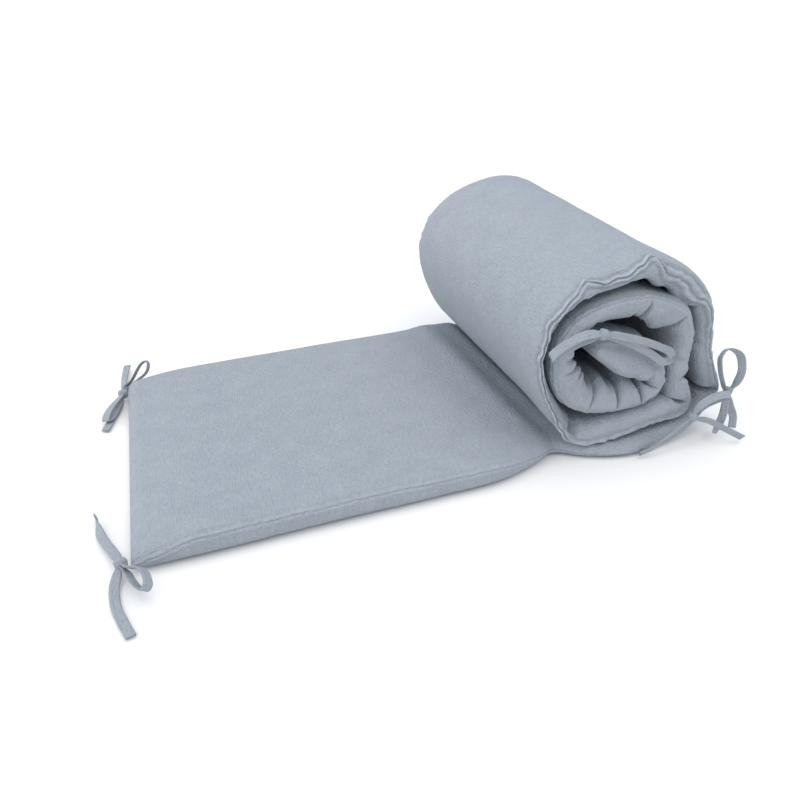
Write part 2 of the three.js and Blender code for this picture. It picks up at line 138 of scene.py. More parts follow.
# Creases that run in from the near edge: row on the route, face (1 inner, -1 outer), depth,
# half width, reach, how far along the strip each runs for every millimetre inward, how far round
# the edge it starts (from -1 at the other face to 1 at its own), and how many times wider its
# later side is, which is 1 but for the pleats.
FOLDS = [
    (13, 1, 10, 3.5, 70, 0, -0.6, 1),
    (15.3, 1, 2.5, 3, 30, 0.3, 0.1, 1),
    (17.05, 1, 4, 2.2, 34, -0.1, 0.1, 1),
    (18.75, 1, 3.5, 2.2, 34, 0.25, 0.1, 1),
    (22.4, 1, 4, 3, 25, 0, 0.1, 1),
    (28.4, 1, 7, 2.4, 60, 0.1, -0.6, 1),
    (30.3, 1, 1.5, 5, 30, 0.4, -0.6, 1),
    (31.6, 1, 1.5, 5, 30, -0.4, -0.6, 1),
    (33.1, 1, 12, 2.6, 70, 0, -0.6, 1),
    (34.3, -1, 6, 3, 45, 0, -0.6, 1),
    (35.1, 1, 3, 3.5, 40, 0.2, -0.6, 1),
    (36.9, 1, 8, 2.2, 36, -0.15, -0.6, 1),
    (38.55, 1, 12, 2.2, 60, 0, -0.6, 1),
    (38.9, 1, 5, 2, 40, -0.35, -0.6, 1),
    (40.5, 1, 5, 2.2, 30, 0.25, 0.1, 1),
    (41.4, 1, 3, 2.5, 26, 0.3, 0.1, 1),
    (42.6, 1, 5, 2.2, 34, 0.4, -0.6, 1),
    (43.15, 1, 8, 2.2, 44, 0.3, -0.6, 1),
    (43.75, 1, 8, 2.0, 44, 0.05, -0.6, 1),
    (44.3, 1, 6, 2.0, 40, -0.35, -0.6, 1),
    (45.1, 1, 12, 1.2, 90, 0.15, -0.6, 4),
    (46.2, 1, 13, 1.2, 90, 0.05, -0.6, 4),
    (47.25, 1, 13, 1.2, 90, -0.1, -0.6, 4),
    (48.3, 1, 6, 2.0, 40, -0.2, -0.6, 1),
    (48.8, -1, 4, 2.0, 30, 0.2, -0.6, 1),
    (49.4, 1, 5, 2.0, 30, 0.3, -0.6, 1),
    (49.6, -1, 3, 2.0, 26, -0.2, -0.6, 1),
    (50.3, 1, 2, 2.4, 24, -0.3, -0.6, 1),
    (51.3, 1, 2, 2.6, 24, 0.3, -0.6, 1),
]

# Soft swellings and hollows near that edge: row, face, height, half width, how far in each is
# highest, and how far it reaches from there.
SWELLS = [
    (17.8, 1, 12, 20, 0, 30),
    (19.1, 1, 9, 16, 0, 32),
    (23.5, 1, -4, 40, 0, 16),
    (25.5, 1, -4, 40, 0, 15),
    (27.5, 1, -4, 40, 0, 15),
    (28.35, 1, -6, 12, 0, 18),
    (32.9, -1, 5, 14, 0, 42),
    (34.0, 1, 2, 14, 0, 28),
    (37.7, 1, 11, 13, 0, 28),
    (39.3, 1, 8, 20, 0, 28),
    (43.2, -1, 4, 34, 0, 28),
    (43.9, 1, 8, 20, 0, 42),
    (45.5, 1, 13, 13, 40, 45),
    (46.65, 1, 14, 13, 43, 48),
    (47.7, 1, 5, 10, 30, 40),
    (50.8, 1, 1.5, 14, 0, 28),
    (50.5, -1, 23, 26, 30, 38),
    (51.8, -1, 12, 20, 36, 34),
]

# Long hollows in the strip's top, near the roll: where each lies along the strip at the near
# and at the far edge, its depth and half width, and how far in it starts and stops.
TROUGHS = [
    (385, 364, -2.4, 12, 25, 330),
    (404, 389, 2.6, 10, 0, 330),
    (418, 408, -1.5, 6, 0, 330),
]

# The seam round the near edge: its row, its angle round the edge from the middle (above 0 is
# towards the inner face), how far it stands proud, and how full its two ridges are.
SEAM_COLUMNS = ("row", "angle", "proud", "full")
SEAM = [
    (0, -10, 0, 0.3),
    (1, 36, 0, 0.3),
    (5, 32, 0, 0.25),
    (6, 12, 0, 0.15),
    (7, 0, 0, 0.1),
    (9, -15, 0, 0.1),
    (12, -30, 0, 0.15),
    (13, -18, 0, 0.5),
    (14.5, -15, 0, 0.7),
    (15.7, 0, 0, 0.9),
    (16.9, -6, 1.5, 1),
    (17.5, 0, 0, 0.9),
    (18.2, -5, 0.5, 0.9),
    (18.9, -2, 0, 0.9),
    (19.6, -15, 0, 1),
    (19.8, -55, 1, 1),
    (19.9, -68, 2.2, 1.1),
    (20.1, -48, 1, 1),
    (20.3, -36, 0.5, 1),
    (20.8, -18, 0, 1),
    (21.4, -16, 0, 1),
    (21.7, -30, 0, 1),
    (22, -66, 1.2, 1.1),
    (22.3, -48, 0.3, 1),
    (22.6, -38, 0, 1),
    (23.2, -36, 0, 1),
    (23.5, -48, 0.8, 1.1),
    (24, -31, 0, 1),
    (27, -28, 0, 1),
    (28, -42, 0.5, 1),
    (28.6, -66, 3, 1),
    (29.1, -52, 2.5, 0.9),
    (30, -50, 3.5, 0.8),
    (30.7, -46, 2.5, 0.7),
    (31.4, -38, 1, 0.6),
    (32.2, -42, 2.5, 0.6),
    (32.8, -38, 4, 0.6),
    (33.3, -45, 2, 0.4),
    (35, -40, 0, 0.3),
    (36.8, -26, 0, 0.3),
    (37.6, -35, 0, 0.3),
    (38.3, -48, 0, 0.3),
    (39, -35, 0, 0.25),
    (41, -55, 0, 0.25),
    (43, -60, 0, 0.3),
    (46, -66, 0, 0.3),
    (48.4, -60, 1, 0.4),
    (49, -55, 2, 0.5),
    (50, -62, 1, 0.5),
    (53, -60, 0, 0.4),
]


def smooth(t):
    c = np.clip(t, 0, 1)
    return c * c * (3 - 2 * c)


def lerp(a, b, t):
    return a + (b - a) * t


def bump(x):
    return np.exp(-x * x)


def spline(values, u):
    """A Catmull-Rom spline through evenly placed values, at positions u."""
    last = len(values) - 1
    i = np.clip(np.floor(u), 0, last - 1).astype(int)
    t = u - i
    a, b, c, d = (values[np.clip(i + k, 0, last)] for k in (-1, 0, 1, 2))
    bend = 2 * a - 5 * b + 4 * c - d
    twist = 3 * b - a - 3 * c + d
    return 0.5 * (2 * b + (c - a) * t + bend * t**2 + twist * t**3)


NEAR_ROUTE = {key: np.array([row[k] for row in ROUTE], float) for k, key in enumerate(ROUTE_COLUMNS)}


def evened(values):
    """The column with each bend in the roll averaged with its neighbours."""
    out = values.copy()
    mean = (values[:-2] + 2 * values[1:-1] + values[2:]) / 4
    out[RISE_START + 1 : -1] = mean[RISE_START:]
    return out


DEEP_ROUTE = {key: evened(NEAR_ROUTE[key]) for key in ("x", "z")}
ROW_STEPS = np.arange((len(ROUTE) - 1) * STEPS_PER_ROW + 1) / STEPS_PER_ROW
LENGTHS = np.concatenate(
    [
        [0],
        np.cumsum(
            np.hypot(
                np.diff(spline(NEAR_ROUTE["x"], ROW_STEPS)),
                np.diff(spline(NEAR_ROUTE["z"], ROW_STEPS)),
            )
        ),
    ]
)
PAD_LENGTH = LENGTHS[-1]


def row_at(length):
    return np.interp(length, LENGTHS, ROW_STEPS)


def length_at(row):
    return np.interp(row, ROW_STEPS, LENGTHS)


def far_edge(u):
    return lerp(FAR_EDGE_AT_END, FAR_EDGE_AT_ROLL, smooth(u / RISE_START))


def middle(length, y):
    """The middle of the thickness, as x and z, at a length and a distance from the near edge."""
    u = row_at(length)
    even = smooth(y / UNEVEN_DEPTH)
    x = lerp(spline(NEAR_ROUTE["x"], u), spline(DEEP_ROUTE["x"], u), even)
    z = lerp(spline(NEAR_ROUTE["z"], u), spline(DEEP_ROUTE["z"], u), even)
    depth = y / FAR_EDGE_AT_ROLL * smooth((u - RISE_START) / (RISE_END - RISE_START))
    lean = lerp(END_LEAN, ROLL_LEAN, np.minimum(length / LEAN_RUN, 1))
    return (
        x + FAR_SWELL * depth * (x - ROLL_MIDDLE_X) + lean * y,
        z + FAR_RISE * depth * (z - ROLL_UNDERSIDE_Z),
    )


def inward(length, y):
    """The inner face's direction there, as x and z."""
    x0, z0 = middle(np.maximum(length - TURN_SPAN, 0), y)
    x1, z1 = middle(np.minimum(length + TURN_SPAN, PAD_LENGTH), y)
    size = np.hypot(x1 - x0, z1 - z0)
    return -(z1 - z0) / size, (x1 - x0) / size


# ---- The pad's fine mesh ----

# How far apart the rings stand in each stretch of the strip, where each stretch is, the steps in
# which that is worked out, and the extra rings that round each end.
LENGTH_TICK = 0.25
FLAT_STEP = 4.0
FLAT_ROWS = 6
ROLL_STEP = 2.5
RIM_STEP = 1.6
RIM_ROWS = (13, 31)
FOLD_STEP = 1.0
FOLD_ZONE = 6
END_RINGS = (0.6, 1.6, 5.0)
SIDE_POINTS = {"near": 31, "far": 19}
FACE_POINTS = 34
SEAM_CROWDING = 1.7

SEAM_RIDGE_HEIGHT = 2.3
SEAM_RIDGE_APART = 1.9
SEAM_RIDGE_WIDTH = 1.5
SEAM_GROOVE = 1.2
SEAM_GROOVE_WIDTH = 0.7
SEAM_BED = 1.3
SEAM_BED_APART = 5.2
SEAM_BED_WIDTH = 1.8
SEAM_PUCKER_PITCH = 5
SEAM_DRIFT_PITCH = 23
SEAM_DRIFT_SHARE = 0.4
SEAM_WANDER_DEGREES = 6
SEAM_END_FADE = 8
FAR_SEAM_FULL = 0.75
FAR_SEAM_ANGLE = -10.0
PROUD_WIDTH = 5

# The rim's peak, where the seam is pulled straight and puckers half as much.
PEAK_ROW = 18
PEAK_ROWS_WIDE = 1.5
PEAK_CALM = 0.5

# The lip beside a crease: its share of the crease's depth, how far off it is and its half width,
# both in half widths of the crease.
FOLD_LIP = 0.28
FOLD_LIP_AT = 3
FOLD_LIP_WIDTH = 1.4

# Gathers that run in from a sewn edge. For each kind, short puckers and then longer creases: how
# far its seed is moved, its pitch, its depth and its reach. For each edge: its seed and how much
# of the depth it has. Then how each gather varies about its kind, and how much of it there is on
# the flat part, how much more on the roll, and the rows where that starts and how many it takes.
GATHER_KINDS = [(0, 9, 0.9, 7), (40, 26, 0.8, 22)]
GATHER_EDGES = {"near": (11, 1), "far": (17, 0.4)}
GATHER_SPACING = (0.6, 1.5)
GATHER_WIDTH = (1.8, 3.2)
GATHER_DEPTH = (0.35, 1.2)
GATHER_REACH = (0.5, 1.8)
GATHER_SKEW = 0.35
GATHER_SPAN = 14
GATHER_START = 2.5
GATHER_ON_FLAT = 0.45
GATHER_ON_ROLL = 0.55
GATHER_ROLL_ROWS = (6, 3)

TROUGH_START_FADE = 40
TROUGH_STOP_FADE = 60

# Soft unevenness of the filling: the size of its lumps along and across, and its depth.
LUMP_LENGTH = 46
LUMP_WIDTH = 38
LUMP_DEPTH = 0.5
LUMP_EDGE_FADE = 30
NOISE_SEED = 23
NOISE_GRID = 64
END_FADE = 10
OUTER_OFFSET = 500


def pad_lengths():
    """Where the rings stand along the strip: closer together round the rim and at each fold."""
    at = np.arange(0, PAD_LENGTH, LENGTH_TICK)
    u = row_at(at)
    density = np.where(u < FLAT_ROWS, 1 / FLAT_STEP, 1 / ROLL_STEP)
    density = np.where((u > RIM_ROWS[0]) & (u < RIM_ROWS[1]), 1 / RIM_STEP, density)
    for row, *_ in FOLDS:
        density = np.maximum(density, bump((at - length_at(row)) / FOLD_ZONE) / FOLD_STEP)
    total = np.concatenate([[0], np.cumsum(density) * LENGTH_TICK])
    rings = np.linspace(0, total[-1], int(total[-1]))
    placed = np.interp(rings, total, np.append(at, PAD_LENGTH))
    ends = np.array(END_RINGS)
    return np.sort(np.concatenate([placed, ends, PAD_LENGTH - ends]))


def seam_at(u, key):
    table = {name: [row[k] for row in SEAM] for k, name in enumerate(SEAM_COLUMNS)}
    return np.interp(u, table["row"], table[key])


def wander(length, pitch, seed):
    """A smooth random line along the strip, from -1 to 1, with bumps about pitch apart."""
    rng = np.random.default_rng(seed)
    knots = rng.uniform(-1, 1, int(PAD_LENGTH / pitch) + 3)
    return spline(knots, np.clip(length / pitch, 0, len(knots) - 1))


def fold_depth(length, inset, height):
    """How deep the folds press, for a point this far in and this high on its side."""
    depth = np.zeros(np.broadcast(length, inset).shape)
    for row, face, deep, wide, reach, skew, start, skirt in FOLDS:
        away = (length - length_at(row) - skew * np.maximum(inset, 0)) / wide
        away = np.abs(np.where(away > 0, away / skirt, away))
        on_face = smooth((face * height - start) / min(1.2, 1 - start))
        crease = np.exp(-away) - FOLD_LIP * bump((away - FOLD_LIP_AT) / FOLD_LIP_WIDTH)
        depth += face * deep * crease * on_face * (1 - smooth(inset / reach))
    for row, face, high, wide, peak, reach in SWELLS:
        away = (length - length_at(row)) / wide
        on_face = smooth((face * height + 0.6) / 1.2)
        depth -= face * high * bump(away) * on_face * bump((inset - peak) / reach)
    return depth


def pad_section(length):
    """The rings round the strip at each length: how far in and how high each point is, and the painted
    highlight and shade along its seams.
    """
    u = row_at(length)[:, None]
    s = length[:, None]
    to_end = np.minimum(s, PAD_LENGTH - s)
    bulge = np.sqrt(1 - (1 - np.minimum(to_end / EDGE_ROUND, 1)) ** 2)
    half = np.maximum(spline(NEAR_ROUTE["thick"], u) * bulge, END_THICKNESS) / 2
    near = spline(NEAR_ROUTE["near"], u)
    far = far_edge(u)
    ys, rises, seam_shadings = [], [], []
    for edge, towards, side, seed in ((near, 1, "near", 3), (far, -1, "far", 5)):
        t = np.linspace(-1, 1, SIDE_POINTS[side])
        share = 1 + np.sign(t) * np.abs(t) ** SEAM_CROWDING
        full = seam_at(u, "full") * (1 if towards > 0 else FAR_SEAM_FULL)
        calm = 1 - PEAK_CALM * bump((u - PEAK_ROW) / PEAK_ROWS_WIDE)
        line = seam_at(u, "angle") if towards > 0 else np.full(u.shape, FAR_SEAM_ANGLE)
        sway = wander(s, SEAM_PUCKER_PITCH, seed) * full * calm
        sway = sway + SEAM_DRIFT_SHARE * wander(s, SEAM_DRIFT_PITCH, seed + 1)
        line = line + SEAM_WANDER_DEGREES * sway
        angle = np.where(share < 1, lerp(-90, line, share), lerp(line, 90, share - 1))
        a = np.radians(angle)
        off = np.radians(angle - line) * (EDGE_ROUND + half) / 2
        fuller = full * (1 + 0.5 * calm * wander(s, SEAM_PUCKER_PITCH, seed + 2))
        ridges = (
            bump((off - SEAM_RIDGE_APART) / SEAM_RIDGE_WIDTH) * fuller
            + bump((off + SEAM_RIDGE_APART) / SEAM_RIDGE_WIDTH) * (2 * full - fuller)
        )
        groove = full * bump(off / SEAM_GROOVE_WIDTH)
        bed = full * bump((np.abs(off) - SEAM_BED_APART) / SEAM_BED_WIDTH)
        ridge = SEAM_RIDGE_HEIGHT * ridges - SEAM_GROOVE * groove - SEAM_BED * bed
        # Painted light for the cloth's colour. The ridges are lightened as a painted highlight. The
        # groove, a thin line along the seam where it lies flat, and the hollows beside the ridges are
        # darkened as painted shade.
        seam_shading = ridges - 1.2 * np.maximum(groove, 0.5 * bump(off / 0.7)) - 0.5 * bed
        if towards > 0:
            ridge = ridge + seam_at(u, "proud") * bump(off / PROUD_WIDTH)
        ridge = ridge * np.minimum(to_end / SEAM_END_FADE, 1)
        y = edge + towards * (EDGE_ROUND * (1 - np.cos(a)) - ridge * np.cos(a))
        rise = (half + ridge) * np.sin(a)
        order = slice(None) if towards > 0 else slice(None, None, -1)
        ys.append(y[:, order])
        rises.append(rise[:, order])
        seam_shadings.append(seam_shading[:, order])
    k = np.linspace(0, 1, FACE_POINTS + 2)[1:-1]
    k = 0.35 * k + 0.2 * (1 - np.cos(np.pi * k)) + 0.25 * k**2
    face_y = lerp(near + EDGE_ROUND, far - EDGE_ROUND, k)
    y = np.concatenate([ys[0], face_y, ys[1], face_y[:, ::-1]], 1)
    flat = np.ones_like(face_y) * half
    rise = np.concatenate([rises[0], flat, rises[1], -flat], 1)
    plain = np.zeros_like(face_y)
    seam_shading = np.concatenate([seam_shadings[0], plain, seam_shadings[1], plain], 1)
    depth = fold_depth(s, y - near, rise / half)
    inset = np.where(y - near < EDGE_ROUND, np.abs(depth) / 2, 0)
    release = PINCH_RELEASE * bump(u - PINCH_ROW)
    lift = release * smooth(y / far) * (rise / half + 1) / 2
    return y + inset, rise - depth + lift, seam_shading


def surface_normals(points):
    along = np.gradient(points, axis=0)
    around = np.roll(points, -1, 1) - np.roll(points, 1, 1)
    normal = np.cross(along, around)
    return normal / np.maximum(np.linalg.norm(normal, axis=2, keepdims=True), 1e-9)


def gathers(length, arc, face, seed, pitch, depth, reach):
    """Short creases that run in from a sewn edge, as depths."""
    rng = np.random.default_rng(seed)
    out = np.zeros(arc.shape)
    at = 0.0
    while at < PAD_LENGTH:
        at += pitch * rng.uniform(*GATHER_SPACING)
        wide = rng.uniform(*GATHER_WIDTH)
        deep = depth * rng.uniform(*GATHER_DEPTH)
        long = reach * rng.uniform(*GATHER_REACH)
        skew = rng.uniform(-GATHER_SKEW, GATHER_SKEW)
        rows = np.nonzero(np.abs(length - at) < GATHER_SPAN)[0]
        if len(rows) == 0:
            continue
        part = slice(rows[0], rows[-1] + 1)
        a = arc[part]
        away = (length[part, None] - at - skew * a) / wide
        out[part] += deep * bump(away) * np.exp(-a / long) * smooth(a / GATHER_START) * face[part]
    return out


def troughs(length, y):
    """Long soft hollows in the strip's top, beside the roll."""
    out = np.zeros(y.shape)
    for near_at, far_at, deep, wide, start, stop in TROUGHS:
        away = (length - lerp(near_at, far_at, y / FAR_EDGE_AT_ROLL)) / wide
        begun = smooth((y - start) / TROUGH_START_FADE)
        out += deep * bump(away) * begun * smooth((stop - y) / TROUGH_STOP_FADE)
    return out


def value_noise(x, y, seed):
    """Smooth random heights from -1 to 1 on a unit grid."""
    rng = np.random.default_rng(seed)
    grid = rng.uniform(-1, 1, (NOISE_GRID, NOISE_GRID))
    i, j = np.floor(x).astype(int), np.floor(y).astype(int)
    fx, fy = smooth(x - i), smooth(y - j)
    left, right = i % NOISE_GRID, (i + 1) % NOISE_GRID
    low, high = j % NOISE_GRID, (j + 1) % NOISE_GRID
    return lerp(
        lerp(grid[left, low], grid[right, low], fx),
        lerp(grid[left, high], grid[right, high], fx),
        fy,
    )


def pad_points():
    """The pad's rings in millimetres, with the seams' painted highlight and shade, and the cloth's own
    coordinates along and across it.
    """
    length = pad_lengths()
    s = length[:, None]
    y, rise, seam_shading = pad_section(length)
    x, z = middle(s, y)
    nx, nz = inward(s, y)
    points = np.stack([x + nx * rise, y, z + nz * rise], 2)
    count = points.shape[1]
    near_seam = SIDE_POINTS["near"] // 2
    far_seam = SIDE_POINTS["near"] + FACE_POINTS + SIDE_POINTS["far"] // 2
    step = np.linalg.norm(np.roll(points, -1, 1) - points, axis=2)
    ring = np.concatenate([np.zeros((len(length), 1)), np.cumsum(step, 1)[:, :-1]], 1)
    total = step.sum(1)[:, None]
    from_near = (ring - ring[:, near_seam : near_seam + 1]) % total
    to_far = from_near[:, far_seam : far_seam + 1]
    inner = (np.arange(count) >= near_seam) & (np.arange(count) < far_seam)
    inner = np.broadcast_to(inner, ring.shape).astype(float)
    near_arc = np.minimum(from_near, total - from_near)
    far_arc = np.abs(from_near - to_far)
    u = row_at(s)
    roll_from, roll_over = GATHER_ROLL_ROWS
    rolled = GATHER_ON_FLAT + GATHER_ON_ROLL * smooth((u - roll_from) / roll_over)
    depth = np.zeros(ring.shape)
    for arc, edge in ((near_arc, "near"), (far_arc, "far")):
        seed, share = GATHER_EDGES[edge]
        for face, extra in ((inner, 0), (1 - inner, 1)):
            for moved, pitch, deep, reach in GATHER_KINDS:
                creases = gathers(length, arc, face, seed + extra + moved, pitch, deep, reach)
                depth += share * rolled * creases
    depth += inner * troughs(s, points[:, :, 1])
    across = from_near * inner - near_arc * (1 - inner)
    soft = value_noise(s / LUMP_LENGTH + 7, across / LUMP_WIDTH + 20, NOISE_SEED)
    depth += LUMP_DEPTH * soft * smooth(near_arc / LUMP_EDGE_FADE) * smooth(far_arc / LUMP_EDGE_FADE)
    ends = smooth(np.minimum(s, PAD_LENGTH - s) / END_FADE)
    points -= (depth * ends)[:, :, None] * surface_normals(points)
    points[:, :, 2] = np.maximum(points[:, :, 2], 0)
    first, last = SIDE_POINTS["near"], count - 1
    across_inner = from_near - from_near[:, first : first + 1] + y[:, first : first + 1]
    across_outer = from_near[:, last : last + 1] - from_near + y[:, last : last + 1]
    across_outer[:, near_seam] = (across_outer - total)[:, near_seam]
    return points, seam_shading, s * np.ones_like(y), across_inner, across_outer + OUTER_OFFSET


def shift_to_frame(low_corner):
    """How far the strip's own corner is from the frame's origin, in metres."""
    return Vector(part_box("pad")[0]) - Vector(low_corner) * MM


def mesh_object(name, points, faces, face_uvs, seam_shading=None):
    """A new object at the origin from points in metres, faces of point numbers and, for each face, the
    cloth coordinates of its corners in metres, with the seams' painted highlight and shade at each point."""
    mesh = bpy.data.meshes.new(name)
    mesh.from_pydata([tuple(p) for p in points], [], faces)
    layer = mesh.uv_layers.new(name="cloth")
    layer.data.foreach_set("uv", np.concatenate(face_uvs).astype(np.float32).ravel())
    # The seams' painted highlight and shade, kept on each point for the cloth's colour; zero where none is
    # given.
    painted_seam_light = mesh.attributes.new("seam_shading", "FLOAT", "POINT")
    if seam_shading is not None:
        painted_seam_light.data.foreach_set("value", seam_shading.astype(np.float32).ravel())
    mesh.update()
    piece = bpy.data.objects.new(name, mesh)
    bpy.context.scene.collection.objects.link(piece)
    mesh.shade_smooth()
    return piece


def ladder(start, seam, count, flip):
    """Quads that close a flat end between its inner and outer edge."""
    faces = []
    for k in range(count // 2):
        ring = [
            start + (seam + k) % count,
            start + (seam + k + 1) % count,
            start + (seam - k - 1) % count,
            start + (seam - k) % count,
        ]
        face = list(dict.fromkeys(ring))
        if len(face) > 2:
            faces.append(face[::-1] if flip else face)
    return faces


def build_pad():
    points, seam_shading, along, inner, outer = pad_points()
    rings, count = along.shape
    flat = points.reshape(-1, 3)
    shift = shift_to_frame(flat.min(0))
    near_seam = SIDE_POINTS["near"] // 2
    far_seam = SIDE_POINTS["near"] + FACE_POINTS + SIDE_POINTS["far"] // 2
    faces, uvs = [], []
    for k in range(count):
        across = inner if near_seam <= k < far_seam else outer
        following = (k + 1) % count
        for s in range(rings - 1):
            a, b = s * count + k, s * count + following
            faces.append((a, a + count, b + count, b))
            uvs.append(
                [
                    (along[s, k], across[s, k]),
                    (along[s + 1, k], across[s + 1, k]),
                    (along[s + 1, following], across[s + 1, following]),
                    (along[s, following], across[s, following]),
                ]
            )
    for start, flip in ((0, False), ((rings - 1) * count, True)):
        for face in ladder(start, near_seam, count, flip):
            faces.append(face)
            uvs.append([(flat[i][2], flat[i][1]) for i in face])
    placed = flat * MM + np.array(shift)
    uvs = [np.array(corner) * MM for corner in uvs]
    return mesh_object("quilted_pad", placed, faces, uvs, seam_shading), shift


# ---- The ties ----
# Each has its knot and its straps: a path of points, and the directions its width lies in.

TIES = {
    "tie_free_near": (
        (-8, -1, 11),
        [
            (
                [(-8, 0, 11), (-13, 19, 8), (-19, 38, 6), (-23, 57, 5.5), (-24, 74, 6)],
                [(1, 0.2, 0), (1, 0.2, 0.1), (-0.25, 0, 0.97)],
            ),
            (
                [(-9, -1, 10), (-12, -9, 6.5), (-15, -18, 4), (-15.5, -38, 2.8), (-12, -56, 2.8),
                 (-7.5, -73, 2.8)],
                [(1, -0.5, 0), (1, 0, 0), (1, -0.2, 0)],
            ),
            (
                [(-7, -2, 12), (-3, -12, 15), (5, -21, 20), (9, -31, 23), (10, -39, 24), (10, -44, 22),
                 (7, -44, 17), (4, -38, 13.5), (1, -30, 11.5), (-2, -21, 11), (-4, -13, 11), (-8, -3, 10)],
                [(0.778, 0.111, -0.619), (0.778, 0.111, -0.619)],
            ),
        ],
    ),
    "tie_free_far": (
        (15, 281, 9),
        [
            (
                [(15, 282, 9), (17, 304, 6), (20, 330, 5), (25, 355, 6)],
                [(0.4, 0, 0.9), (0.8, -0.2, 0.5), (1, -0.2, 0.1)],
            ),
            (
                [(15, 283, 9), (19, 297, 9), (25, 302, 11.5), (29.4, 302, 17), (35, 302, 25.8),
                 (40.6, 302, 32.4), (45, 302, 34), (47, 302, 31), (45.7, 302, 23.8), (41.6, 302, 18),
                 (35, 302, 13.5), (28, 302, 9), (21, 297, 6), (15, 283, 7)],
                [(-0.33, -0.8, 0.5), (-0.33, -0.8, 0.5)],
            ),
            (
                [(15, 279, 10), (9, 265, 12), (2, 250, 13), (-4, 238, 11), (-6, 232, 8), (-2, 237, 5.5),
                 (6, 256, 5.5), (14, 278, 7)],
                [(0.9, -0.44, 0.5), (0.9, -0.44, 0.1), (0.9, -0.44, 0)],
            ),
            (
                [(14, 279, 7), (7, 259, 3.2), (-1, 239, 2.8), (-8, 220, 2.8)],
                [(0.9, -0.4, 0), (0.9, -0.35, 0), (0.9, -0.35, 0)],
            ),
        ],
    ),
    "tie_corner_near": (
        (592, -6, 48),
        [
            (
                [(591, -7, 49), (586, -8, 52), (578, -8, 65), (571, -8, 80), (568, -8, 93), (573, -8, 100),
                 (582, -8, 98.5), (593, -8, 91), (599.5, -8, 79.5), (602, -8, 67.5), (598.5, -8, 57.5),
                 (593, -7, 49)],
                [(-0.33, -0.8, 0.5), (-0.33, -0.8, 0.5), (-0.2, -0.8, 0.5), (0.85, -0.45, 0.2),
                 (-0.2, -0.8, 0.4)],
            ),
            (
                [(591, -7, 46), (587, -12, 35), (584, -15, 26), (579, -17, 16), (575, -18, 8)],
                [(0.8, 0, 0.2), (0.6, -0.6, 0.2), (0.9, 0.2, 0.1)],
            ),
            (
                [(593, -6, 45), (599, -7, 31), (605, -10, 17), (603, -14, 6)],
                [(0.8, -0.2, 0.4), (0.9, -0.3, 0.1), (0.9, -0.4, 0.1)],
            ),
        ],
    ),
    "tie_fold_near": (
        (543, -15, 33),
        [
            (
                [(542, -15, 32), (524, -18, 25), (507, -19, 16), (494, -20, 10), (481, -19, 6)],
                [(-0.38, -0.35, 0.85), (-0.38, -0.35, 0.85)],
            ),
            (
                [(545, -16, 32), (561, -19, 27), (581, -25, 16), (599, -33, 6)],
                [(-0.2, -0.3, 0.9), (0.1, -0.5, 0.8), (0.2, -0.5, 0.8)],
            ),
            (
                [(543, -15, 36), (548, -17, 47), (559, -18, 53), (572, -19, 55), (581, -19, 53),
                 (583, -16, 50), (575, -12, 46), (562, -10, 41), (552, -11, 36), (545, -14, 33)],
                [(-0.64, 0.54, 0.43), (-0.09, 0.56, 0.82), (0.2, 0.47, 0.86), (-0.24, 0.59, 0.78)],
            ),
        ],
    ),
    "tie_inner_near": (
        (418, -11, 144),
        [
            (
                [(417, -12, 145), (398, -14, 148), (386, -14, 145), (374, -14, 140), (366, -13, 133),
                 (368, -10, 129), (382, -9, 134), (396, -9, 139), (416, -10, 143)],
                [(-0.3, 0.5, 0.78), (-0.3, 0.5, 0.78)],
            ),
            (
                [(419, -12, 145), (442, -10, 137), (464, -9, 129), (486, -8, 119), (502, -8, 110),
                 (506, -7, 103), (500, -5, 99), (484, -3, 109), (464, -3, 121), (442, -5, 133),
                 (420, -10, 143)],
                [(0.3, -0.1, 0.9), (0.16, -0.38, 0.9), (0.5, 0.3, 0.8), (0.5, 0.3, 0.8)],
            ),
        ],
    ),
}

# The ties on the far edge, in plain even bows: the route row that each is sewn at.
FAR_TIE_ROWS = {"tie_corner_far": 14.6, "tie_fold_far": 33, "tie_inner_far": 52.5}
FAR_TIE_STANDOFF = 9
FAR_LOOP = [(0, 1), (9, 8), (21, 11), (31, 7), (33, 0), (25, -5), (12, -4), (0, -1)]
FAR_LOOP_ACROSS = [(0, 1, 0), (0, 1, 0)]
FAR_TAIL = [(0, 0), (7, -9), (12, -19), (14, -29)]
FAR_TAIL_ACROSS = [(0, 1, 0), (0.8, 0.2, 0), (0.9, 0, 0)]


# A strap's section: points across it, the raised stitch line beside its edge (as shares of the
# half width and of the thickness), how thin its edge is, and how much it cups.
STRAP_SPAN_STEPS = 8
STRAP_POINTS = 9
STRAP_HEM = 0.18
STRAP_HEM_AT = 0.84
STRAP_HEM_WIDTH = 0.12
STRAP_EDGE = 0.55
STRAP_CUP = 0.06
STRAP_CUP_AT_KNOT = 0.5
STRAP_CUP_LEVEL = 0.4
STRAP_BACK_OFFSET = 20

# A strap is drawn in where it enters the knot: its share of the width there, and how far from the
# knot it starts to widen and how long that takes. One whose ends lie this near is a loop.
SQUEEZE = 0.62
SQUEEZE_RELEASE = 0.38
SQUEEZE_START = 2
SQUEEZE_RUN = 9
LOOP_ENDS_WITHIN = 8

# The knot: its half sizes, how square it is, and the band drawn tight round it, with a groove at
# each side of the band and a slight ripple.
KNOT_ROWS = 17
KNOT_COLUMNS = 26
KNOT_RADIUS = (4.6, 3.8, 4.6)
KNOT_SQUARE = 0.72
KNOT_BAND = 0.13
KNOT_BAND_WIDTH = 0.55
KNOT_GROOVE = 1.2
KNOT_GROOVE_AT = 0.62
KNOT_GROOVE_WIDTH = 0.12
KNOT_RIPPLE = 0.04
KNOT_CLOTH_STEPS = (1.0, 0.8)
MERGE_WITHIN = 1e-6


